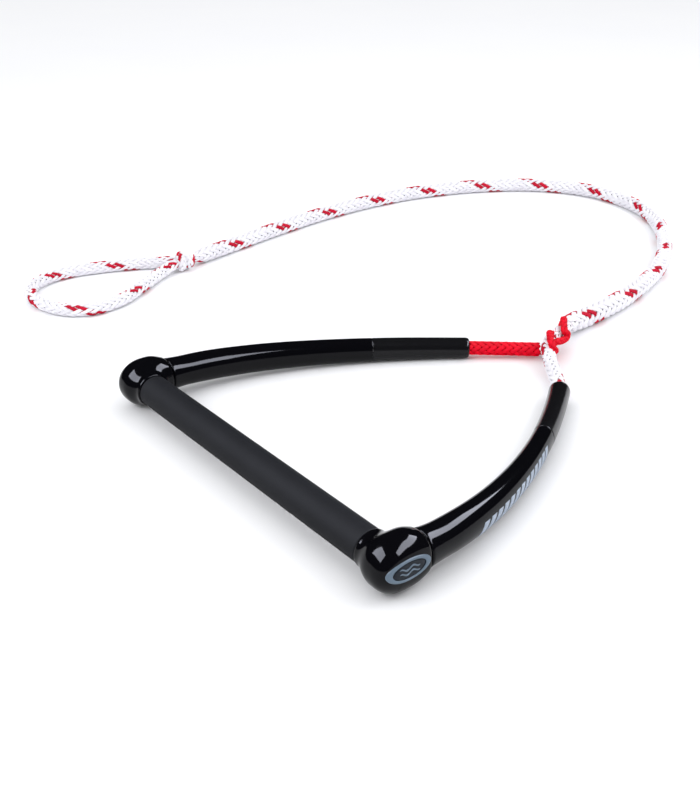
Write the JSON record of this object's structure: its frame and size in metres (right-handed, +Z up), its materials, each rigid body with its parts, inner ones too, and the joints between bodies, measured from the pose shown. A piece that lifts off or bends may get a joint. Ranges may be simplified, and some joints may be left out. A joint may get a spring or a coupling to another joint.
{
  "type": "tow rope handle",
  "caption": "Water sports tow rope handle: a gripped bar between glossy corner caps, curved arm guards over a two-colour bridle, a stitched splice and a short braided lead with a hitch loop.",
  "frame": {"origin": "on the floor plane under the middle of the handle, without its rope", "axes": "+X along the bar, +Y from the bar to the splice, +Z up from the floor the handle lies on"},
  "size_m": [0.7044, 0.8309, 0.044],
  "materials": {
    "grip_rubber": "fine matte",
    "bar_aluminium": "drawn",
    "core_foam": "closed-cell foam",
    "plug_nylon": "moulded",
    "dip_black": "high-gloss dip",
    "sleeve_black": "satin",
    "badge_metal": "satin silver-blue",
    "badge_dark": "dark enamel",
    "washer_steel": "plain",
    "rope_red": "hollow braid",
    "rope_white": "hollow braid with red tracers"
  },
  "bodies": {
    "root": {"grip_sleeve": "grip_rubber", "bar_tube": "bar_aluminium", "bar_foam_core": "core_foam", "end_plug_left": "plug_nylon", "end_plug_right": "plug_nylon", "corner_cap_left": "dip_black", "corner_cap_right": "dip_black", "badge_ring_left": "badge_metal", "badge_ring_right": "badge_metal", "badge_inlay_left": "badge_dark", "badge_inlay_right": "badge_dark", "arm_guard_left": "dip_black", "arm_guard_right": "dip_black", "arm_tip_sleeve_left": "sleeve_black", "arm_tip_sleeve_right": "sleeve_black", "rope_washer_left": "washer_steel", "rope_washer_right": "washer_steel", "stopper_knot_left": "rope_red", "stopper_knot_right": "rope_white", "bridle_leg_left": "rope_red", "bridle_leg_right": "rope_white", "lead_rope": "rope_white", "lock_stitch": "rope_red", "loop_hitch": "rope_white", "hitch_loop": "rope_white"}
  },
  "joints": []
}
